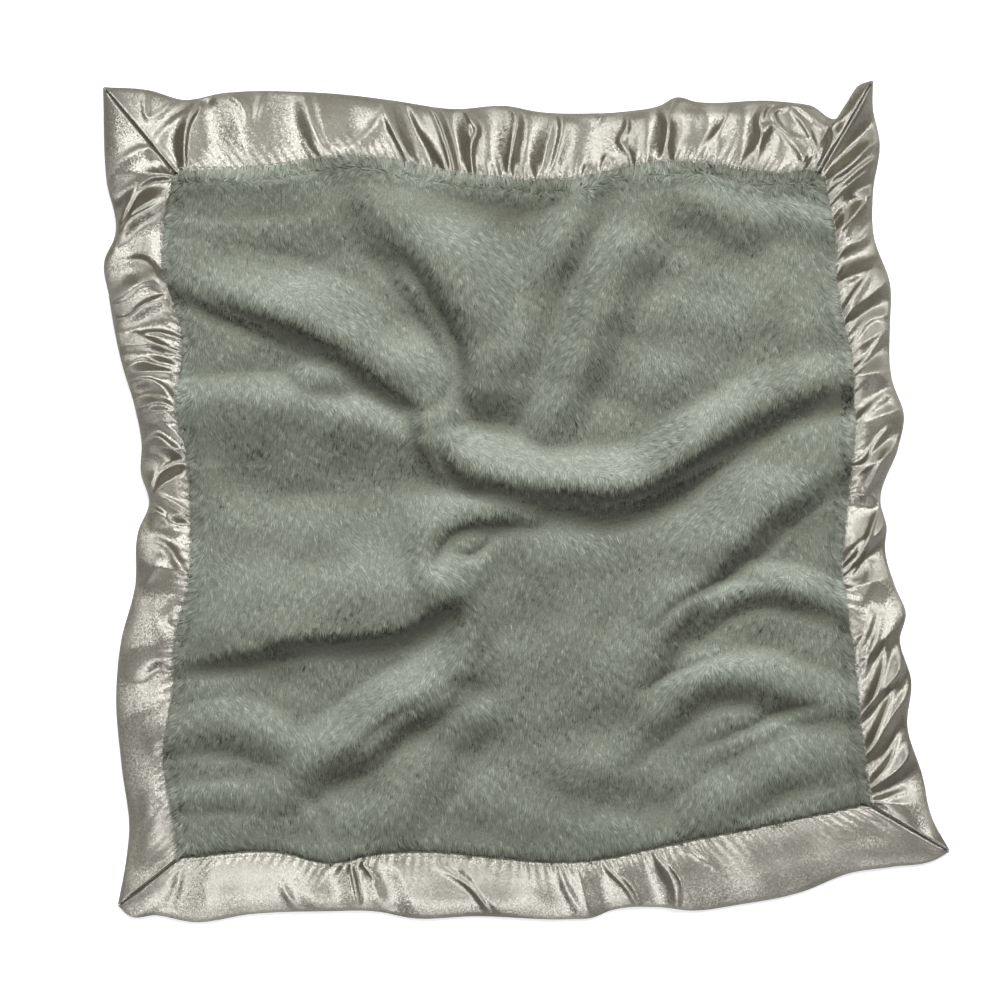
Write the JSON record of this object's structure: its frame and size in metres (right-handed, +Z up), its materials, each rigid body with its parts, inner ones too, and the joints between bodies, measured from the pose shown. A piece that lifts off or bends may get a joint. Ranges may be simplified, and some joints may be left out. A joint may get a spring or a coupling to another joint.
{
  "type": "comfort blanket",
  "caption": "Small square plush comfort blanket with a wide satin binding, mitred at the corners, lying rumpled with its face up.",
  "frame": {"origin": "on the resting surface, under the middle of the outline", "axes": "+Z up out of the blanket's face, +Y towards the edge at the top of the picture, +X towards its right edge"},
  "size_m": [0.3878, 0.385, 0.0262],
  "materials": {
    "plush": "short curly pile",
    "satin": "satin weave",
    "thread": "spun thread"
  },
  "bodies": {
    "root": {"face_panel": "plush", "back_panel": "plush", "binding_top": "satin", "binding_right": "satin", "binding_bottom": "satin", "binding_left": "satin", "needle_thread_top": "thread", "needle_thread_right": "thread", "needle_thread_bottom": "thread", "needle_thread_left": "thread", "bobbin_thread_top": "thread", "bobbin_thread_right": "thread", "bobbin_thread_bottom": "thread", "bobbin_thread_left": "thread", "mitre_thread_face_top_left": "thread", "mitre_thread_face_top_right": "thread", "mitre_thread_face_bottom_right": "thread", "mitre_thread_face_bottom_left": "thread", "mitre_thread_back_top_left": "thread", "mitre_thread_back_top_right": "thread", "mitre_thread_back_bottom_right": "thread", "mitre_thread_back_bottom_left": "thread"}
  },
  "joints": []
}
